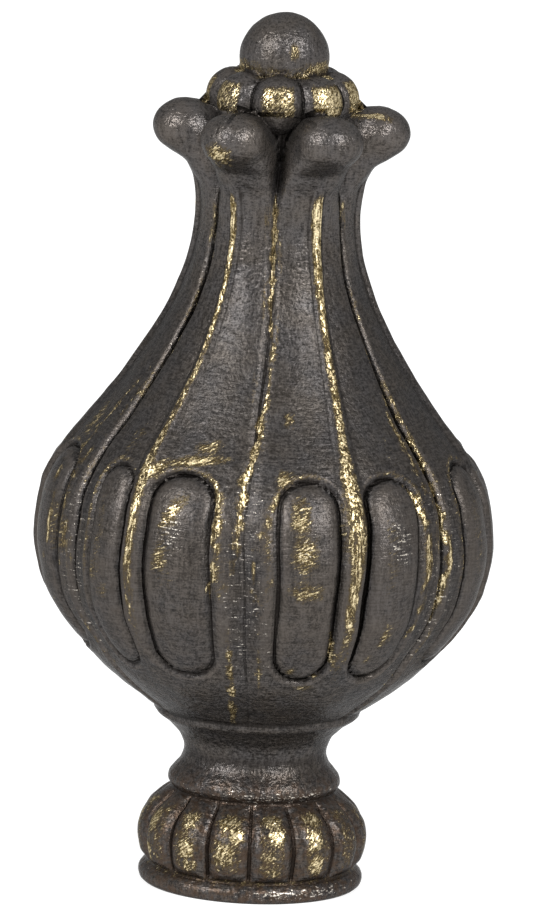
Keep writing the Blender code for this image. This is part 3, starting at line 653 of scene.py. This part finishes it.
def carved_line(theta, z):
    """Millimetres to the nearest sharp carved line, and how dark its painted shade is there."""
    p = Petals(theta, z, crest_radius(z))
    on_bud = fade(z, LEDGE_Z + 0.5 * MM, LEDGE_Z + 3 * MM) * fade(z, HEAD_Z + 2 * MM, HEAD_Z)
    oval = np.abs(p.from_oval + 0.1 * MM)
    seam_cut = np.interp(SEAM_CRACKS[p.seam] / MM, (0.1, 0.5), (0.2, 1.0))
    seam_cut = seam_cut * (0.75 + 0.25 * np.sin(z / (3.1 * MM) + 2 * p.seam))
    seam = p.from_seam / (0.5 + 2.4 * SEAM_CRACKS[p.seam] / MM)
    gadroon = (1 - gadroon_line(theta)) * math.pi / GADROON_COUNT * GADROON_RADIUS
    on_foot = fade(z, GADROON_Z - 0.1 * MM, GADROON_Z + 0.5 * MM)
    on_foot = on_foot * fade(z, ROLL_Z + 0.1 * MM, ROLL_Z - 0.5 * MM)
    lobe = (math.pi / LOBE_COUNT - np.abs(lobe_offset(theta))) * COLLAR_RADIUS
    on_collar = fade(z, HEAD_Z + 1.4 * MM, HEAD_Z + 2 * MM) * fade(z, COLLAR_TOP, COLLAR_TOP - 0.6 * MM)
    near = np.stack([oval, seam, gadroon, lobe]) / MM
    cut = np.stack([0.9 * p.oval_cut * on_bud, seam_cut * on_bud, 0.3 * on_foot, 0.6 * on_collar])
    pick = np.argmin(near + 3 * (cut < 0.02), axis=0)[None]
    return np.take_along_axis(near, pick, 0)[0], np.take_along_axis(cut, pick, 0)[0]


def underside_rings():
    """The bore and the flat underside, as (r, z) from the bore's blind end out to the foot."""
    wall = [(BORE_RADIUS, z) for z in (BORE_DEPTH, 0.66 * BORE_DEPTH, 0.33 * BORE_DEPTH, 0.35 * MM)]
    flat = [(BORE_RADIUS + 0.3 * MM, 0.02 * MM), (BORE_RADIUS + 0.5 * MM, 0)]
    return wall + flat + [(r * MM, 0) for r in (5.2, 7.2, 8.7)]


def edges_within(verts):
    """The edges whose two ends are both among the verts."""
    chosen = set(verts)
    found = {e for v in verts for e in v.link_edges if e.other_vert(v) in chosen}
    return sorted(found, key=lambda e: sorted(v.index for v in e.verts))


def close_ring(bm, verts, at):
    """Closes a ring of verts with a fan whose tip is moved to the point."""
    face = bmesh.ops.contextual_create(bm, geom=edges_within(verts))["faces"]
    tip = bmesh.ops.poke(bm, faces=face)["verts"][0]
    tip.co = at
    return tip


def face_order(face):
    """A number that sets the faces in the same order on every run."""
    places = [v.index for v in face.verts]
    return min(places) + 1e-7 * sum(places)


def carve_casting(material):
    """Spins a profile into a blank, moves its points onto the form and stores what the paint reads."""
    r, theta, z = carved_points()
    points = to_xyz(r, theta, z)
    normals = grid_normals(points)
    cavity = hollows(points, normals)
    points = hand_work(points, normals)
    below = np.array(underside_rings())
    under = to_xyz(below[:, :1] + 0 * theta[:1], theta[:1] + 0 * below[:, :1], below[:, 1:])
    points = np.concatenate([under, points])
    near, cut = carved_line(theta, z)
    gilt, lengthways = gilding(r, theta, z)
    stored = {
        "gilt": gilt,
        "lengthways": lengthways,
        "fleck": silvering(theta, z),
        "hollow": cavity,
        "line_mm": np.clip(near, 0, 2),
        "cut_line_shade": cut,
    }
    ring_count = len(points)

    bm = bmesh.new()
    ring_of = bm.verts.layers.int.new("ring")
    column_of = bm.verts.layers.int.new("column")
    profile = []
    for ring in range(ring_count):
        vert = bm.verts.new((0, -FOOT_RADIUS, ring * MM))
        vert[ring_of] = ring
        profile.append(vert)
    edges = [bm.edges.new(pair) for pair in zip(profile, profile[1:])]
    bmesh.ops.spin(
        bm, geom=profile + edges, cent=(0, 0, 0), axis=(0, 0, 1),
        angle=2 * math.pi, steps=COLUMNS, use_merge=True,
    )
    for vert in bm.verts:
        turn = math.atan2(vert.co.x, -vert.co.y) / (2 * math.pi)
        vert[column_of] = round(turn * COLUMNS) % COLUMNS
        vert.co = points[vert[ring_of], vert[column_of]]
    bm.verts.sort(key=lambda v: v[ring_of] * COLUMNS + v[column_of])
    bm.verts.index_update()
    first = [v for v in bm.verts if v[ring_of] == 0]
    last = [v for v in bm.verts if v[ring_of] == ring_count - 1]
    close_ring(bm, last, (0, 0, FINIAL_HEIGHT))[ring_of] = ring_count - 1
    close_ring(bm, first, (0, 0, BORE_DEPTH))[ring_of] = 0
    bmesh.ops.recalc_face_normals(bm, faces=bm.faces)
    bm.verts.index_update()
    bm.faces.sort(key=face_order)
    mesh = bpy.data.meshes.new("carved_casting")
    bm.to_mesh(mesh)
    bm.free()

    ring, column = np.zeros(len(mesh.vertices), int), np.zeros(len(mesh.vertices), int)
    mesh.attributes["ring"].data.foreach_get("value", ring)
    mesh.attributes["column"].data.foreach_get("value", column)
    ring = np.clip(ring - len(under), 0, None)
    for name, values in stored.items():
        layer = mesh.attributes.new(name, "FLOAT", "POINT")
        layer.data.foreach_set("value", values[ring, column].astype(np.float32))
    for helper in ("ring", "column"):
        mesh.attributes.remove(mesh.attributes[helper])
    mesh.shade_smooth()
    mesh.materials.append(material)
    casting = bpy.data.objects.new("carved_casting", mesh)
    bpy.context.scene.collection.objects.link(casting)
    return casting


def plug(tree, sockets, inputs):
    """Gives each socket its value, or a link where the value is a wire."""
    for name, value in inputs.items():
        if isinstance(value, Wire):
            tree.links.new(value.socket, sockets[name])
        else:
            sockets[name].default_value = value


def add_node(tree, kind, settings, inputs, output=0):
    """Adds a node, sets it up, fills its sockets with values or links and gives one output."""
    node = tree.nodes.new(kind)
    for name, value in settings.items():
        setattr(node, name, value)
    plug(tree, node.inputs, inputs)
    return Wire(node.outputs[output])


class Wire:
    """A socket in a material. Arithmetic on it adds Math nodes."""

    def __init__(self, socket):
        self.socket = socket

    def math(self, operation, *values):
        settings = {"operation": operation}
        return add_node(self.socket.id_data, "ShaderNodeMath", settings, dict(enumerate(values)))

    def __add__(self, other):
        return self.math("ADD", self, other)

    def __radd__(self, other):
        return self.math("ADD", other, self)

    def __sub__(self, other):
        return self.math("SUBTRACT", self, other)

    def __rsub__(self, other):
        return self.math("SUBTRACT", other, self)

    def __mul__(self, other):
        return self.math("MULTIPLY", self, other)

    def __rmul__(self, other):
        return self.math("MULTIPLY", other, self)

    def step(self, start, end):
        """0 before start, 1 after end, smooth between."""
        settings = {"interpolation_type": "SMOOTHSTEP"}
        inputs = {"Value": self, "From Min": start, "From Max": end}
        return add_node(self.socket.id_data, "ShaderNodeMapRange", settings, inputs)


class Paint:
    """The nodes that a painter of this casting needs, on one material's tree."""

    def __init__(self, name):
        self.material = bpy.data.materials.new(name)
        self.material.use_nodes = True
        self.tree = self.material.node_tree
        self.shader = self.tree.nodes["Principled BSDF"]
        self.place = self.node("ShaderNodeTexCoord", {}, {}, "Object")

    def node(self, kind, settings, inputs, output=0):
        return add_node(self.tree, kind, settings, inputs, output)

    def stored(self, name):
        """What the mesh keeps under the name at each point."""
        return self.node("ShaderNodeAttribute", {"attribute_name": name}, {}, "Fac")

    def grain(self, vector, scale, detail=3.0, roughness=0.6):
        inputs = {"Vector": vector, "Scale": scale, "Detail": detail, "Roughness": roughness}
        return self.node("ShaderNodeTexNoise", {}, inputs, "Fac")

    def along(self, axis):
        """How far a point lies along an axis of the object, in metres: 0 for X, 1 for Y and 2 for Z."""
        return self.node("ShaderNodeSeparateXYZ", {}, {"Vector": self.place}, axis)

    def stretched(self, x, y, z):
        """The object's place in millimetres, stretched along each axis."""
        scale = (x / MM, y / MM, z / MM)
        return self.node("ShaderNodeMapping", {}, {"Vector": self.place, "Scale": scale})

    def mix(self, share, first, second):
        """The first colour at a share of 0, the second at 1."""
        first, second = (c if isinstance(c, Wire) else (*c, 1) for c in (first, second))
        return self.node("ShaderNodeMix", {"data_type": "RGBA"}, {0: share, 6: first, 7: second}, 2)

    def round_strokes(self, around, up, lean):
        """A place for strokes drawn round the axis: slow around and quick upwards."""
        x = self.along(0)
        turn = x.math("ARCTAN2", x, self.along(1) * -1.0)
        inputs = {"X": turn * around, "Y": self.along(2) * (up / MM) + turn * lean}
        return self.node("ShaderNodeCombineXYZ", {}, inputs)

    def finish(self, inputs):
        plug(self.tree, self.shader.inputs, inputs)
        return self.material


def gilded_bronze():
    """Bronze-black paint with a fine grain, a dark wash and painted shade in the cuts and hollows, and
    gold dragged over what stands out.
    """
    paint = Paint("gilded_bronze")
    gilt, fleck, hollow = paint.stored("gilt"), paint.stored("fleck"), paint.stored("hollow")
    line_mm, cut_line_shade = paint.stored("line_mm"), paint.stored("cut_line_shade")
    lengthways = paint.stored("lengthways")
    plain = paint.stretched(1, 1, 1)
    height_up = paint.along(2)

    cloudy = paint.grain(plain, 0.35, 3.0)
    mottled = paint.grain(plain, 1.5, 4.0, 0.7)
    fine = paint.grain(plain, 6.0, 2.0, 0.75)
    dimples = paint.grain(plain, 2.3, 1.0, 0.5)
    upright = paint.grain(paint.stretched(1, 1, 0.13), 4.2, 2.0, 0.7)
    level = paint.grain(paint.round_strokes(14.0, 5.5, 0.0), 1.0, 2.0, 0.7)
    strokes = paint.grain(paint.round_strokes(26.0, 5.5, -40.0), 1.0, 2.0, 0.6)
    drag = strokes + (upright - strokes) * lengthways

    # Gold, in strokes that skip, over a thin smear of it, and pale flecks
    cover = gilt * 1.2 + (drag - 0.5) * 1.3 + (mottled - 0.5) * 1.2 + (fine - 0.5) * 0.3
    gold = cover.step(0.57, 0.83) * gilt.step(0.02, 0.2)
    smear = (cover * 0.9 + gilt * 0.3).step(0.35, 0.8) * gilt.step(0.05, 0.3) * 0.6
    silver_cover = fleck * 0.68 + (fine - 0.5) * 1.6 + (level - 0.5) * 2.2
    silver = silver_cover.step(0.8, 0.95) * fleck.step(0.02, 0.15)
    leaf = gold.math("MAXIMUM", gold, silver)
    metal = leaf.math("MAXIMUM", leaf, smear * 0.3)
    glint = (cover * 0.35 + fine * 0.5 + drag * 0.65).step(0.78, 1.18)

    # The hollows take a dark wash that is also painted shade, the carved cracks and grooves are painted
    # near black as shade, and sharp edges are rubbed a little paler
    # Painted shade, nearly black, along the carved cracks and grooves
    crack = (line_mm + (mottled - 0.5) * 0.14).step(0.2, 0.05) * cut_line_shade
    wash_and_shade = hollow.step(0.35, 1.0)
    rubbed = (hollow * -1.0 + (mottled - 0.5) * 1.2 + (fine - 0.5) * 0.6).step(0.35, 0.9)

    # The paint is paler towards the top, its hatching is fainter on the bulb, and the foot is browned
    paler_higher = height_up.step(50 * MM, 62 * MM) * 0.04
    on_bulb = height_up.step(20 * MM, 26 * MM) * height_up.step(58 * MM, 47 * MM)
    on_foot = height_up.step(11.5 * MM, 8.5 * MM)
    hatch = (upright * 0.35 + level * 0.35 + fine * 0.3 + paler_higher).step(0.40, 0.60)
    hatch = hatch * (1 - on_bulb * 0.3)
    browned = on_foot * (mottled * 0.8 + wash_and_shade * 0.15).step(0.3, 0.5) * 0.75

    cool = cloudy.step(0.3, 0.7)
    dark = paint.mix(cool, DARK_WARM, DARK_COOL)
    light = paint.mix(cool, LIGHT_WARM, LIGHT_COOL)
    colour = paint.mix(hatch, dark, light)
    colour = paint.mix(rubbed * 0.25, colour, RUBBED_EDGE)
    colour = paint.mix(browned, colour, FOOT_BROWN)
    # Dark wash and painted shade in the hollows, then painted shade along the carved cracks and grooves
    colour = paint.mix(wash_and_shade * 0.75, colour, DARK_WASH_AND_SHADE)
    colour = paint.mix(crack, colour, DEEP_CUT_SHADE)
    colour = paint.mix(smear, colour, GOLD_SMEAR)
    colour = paint.mix(gold, colour, paint.mix(glint, GOLD_DULL, GOLD_BRIGHT))
    colour = paint.mix(silver, colour, PALE_FLECK)

    pits = dimples * (0.55 - on_bulb * 0.2)
    height = pits + fine * 0.2 + upright * 0.2 + level * 0.25 + gold * 0.3 - crack * 2.0
    inputs = {"Strength": 1.0, "Distance": 0.16 * MM, "Height": height}
    return paint.finish({
        "Base Color": colour,
        "Metallic": 0.65 + metal * 0.25,
        "Roughness": 0.28 + (fine - 0.5) * 0.2 + on_bulb * 0.08,
        "Normal": paint.node("ShaderNodeBump", {}, inputs, "Normal"),
        "Specular Tint": (0.25, 0.25, 0.25, 1),
        "IOR": 1.42,
    })


def pale_floor():
    """White acrylic on a light table, as packshots are taken."""
    material = Paint("pale_floor").finish({
        "Base Color": (0.4, 0.4, 0.4, 1),
        "Roughness": 0.9,
        "Emission Color": (1, 1, 1, 1),
        "Emission Strength": 0.68,
    })
    bm = bmesh.new()
    bmesh.ops.create_grid(bm, x_segments=2, y_segments=2, size=2.5)
    mesh = bpy.data.meshes.new("floor")
    bm.to_mesh(mesh)
    bm.free()
    mesh.materials.append(material)
    floor = bpy.data.objects.new("floor", mesh)
    bpy.context.scene.collection.objects.link(floor)


def aim(thing, target, roll=0.0):
    """Turns a light or the camera towards the target, and rolls it."""
    thing.rotation_euler = (Vector(target) - thing.location).to_track_quat("-Z", "Y").to_euler()
    thing.rotation_euler.rotate_axis("Z", roll)


def soft_light(name, place, target, side, power):
    """A square soft light, its side in metres."""
    data = bpy.data.lights.new(name, "AREA")
    data.shape = "SQUARE"
    data.size = side
    data.energy = power
    light = bpy.data.objects.new(name, data)
    bpy.context.scene.collection.objects.link(light)
    light.location = place
    aim(light, target)


def studio():
    """A white room: a bright surround and one soft light to each side."""
    world = bpy.data.worlds.new("white_room")
    world.use_nodes = True
    surround = world.node_tree.nodes["Background"].inputs
    surround["Color"].default_value = (1, 1, 1, 1)
    surround["Strength"].default_value = 0.6
    scene = bpy.context.scene
    scene.world = world
    scene.view_settings.view_transform = "Standard"
    middle = (0, 0, 0.045)
    soft_light("left_softbox", (-1.25, -1.2, 1.25), middle, side=0.5, power=38)
    soft_light("right_softbox", (1.15, -1.3, 1.25), middle, side=0.5, power=38)


def photo_camera():
    """A long lens, 11 degrees above the finial, and rolled as the photo is."""
    data = bpy.data.cameras.new("camera")
    camera = bpy.data.objects.new("camera", data)
    scene = bpy.context.scene
    scene.collection.objects.link(camera)
    scene.camera = camera
    frame_height, sensor = 917 * 0.0857 * MM, 24
    distance, look_down, roll = 0.9, 11 * DEG, 2.43 * DEG
    target = Vector((0.265 * MM, 0, 37.05 * MM))
    data.sensor_fit = "VERTICAL"
    data.sensor_height = sensor
    data.lens = sensor * distance / frame_height
    camera.location = target + Vector((0, -math.cos(look_down), math.sin(look_down))) * distance
    aim(camera, target, roll)


finial = carve_casting(gilded_bronze())
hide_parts("finial")
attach(finial, "root")
pale_floor()
studio()
photo_camera()
